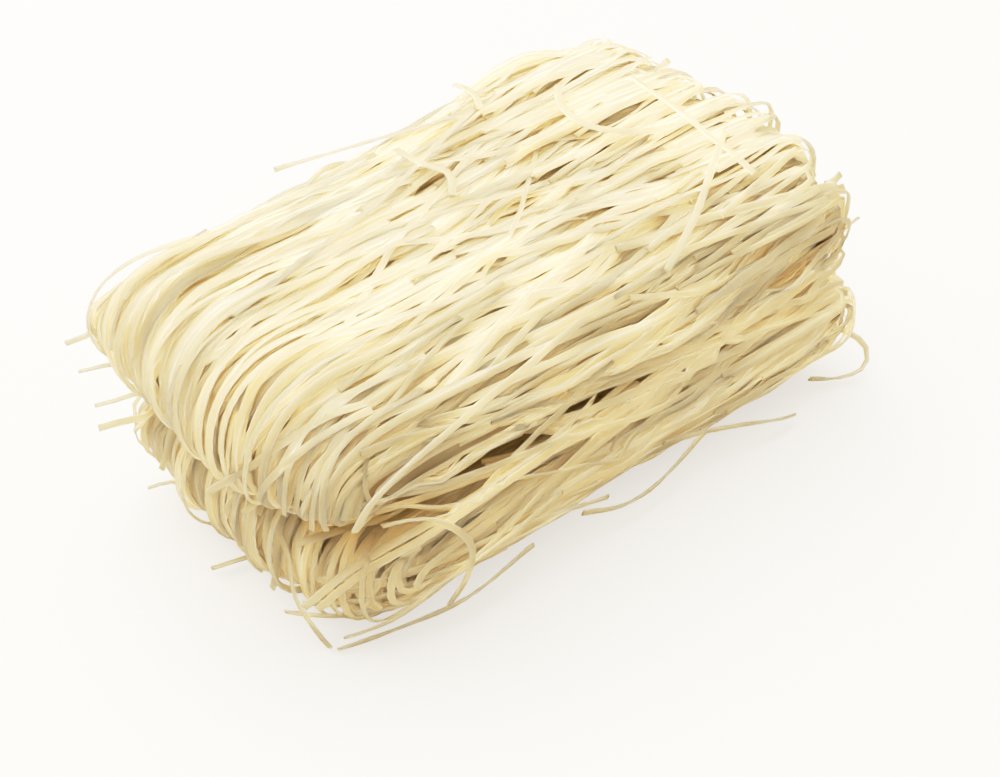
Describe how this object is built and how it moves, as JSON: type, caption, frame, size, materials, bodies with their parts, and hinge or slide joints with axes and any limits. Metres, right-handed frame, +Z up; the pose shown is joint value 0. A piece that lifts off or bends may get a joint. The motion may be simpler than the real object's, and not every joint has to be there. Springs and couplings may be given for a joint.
{
  "type": "block of dried rice vermicelli",
  "caption": "Block of dried rice noodles: a flat hank of strands folded back on itself into two stacked pillows, rounded at the folds and ragged at the cut end.",
  "frame": {"origin": "middle of the base, on the surface that the block lies on", "axes": "+Z up; +X along the strands, from the folds towards the cut far end; the front long side faces -Y"},
  "size_m": [0.2098, 0.112, 0.0908],
  "materials": {
    "dried_noodle": "cream, slightly translucent dried rice starch with a faint gloss"
  },
  "bodies": {
    "root": {"noodle_block": "dried_noodle"}
  },
  "joints": []
}
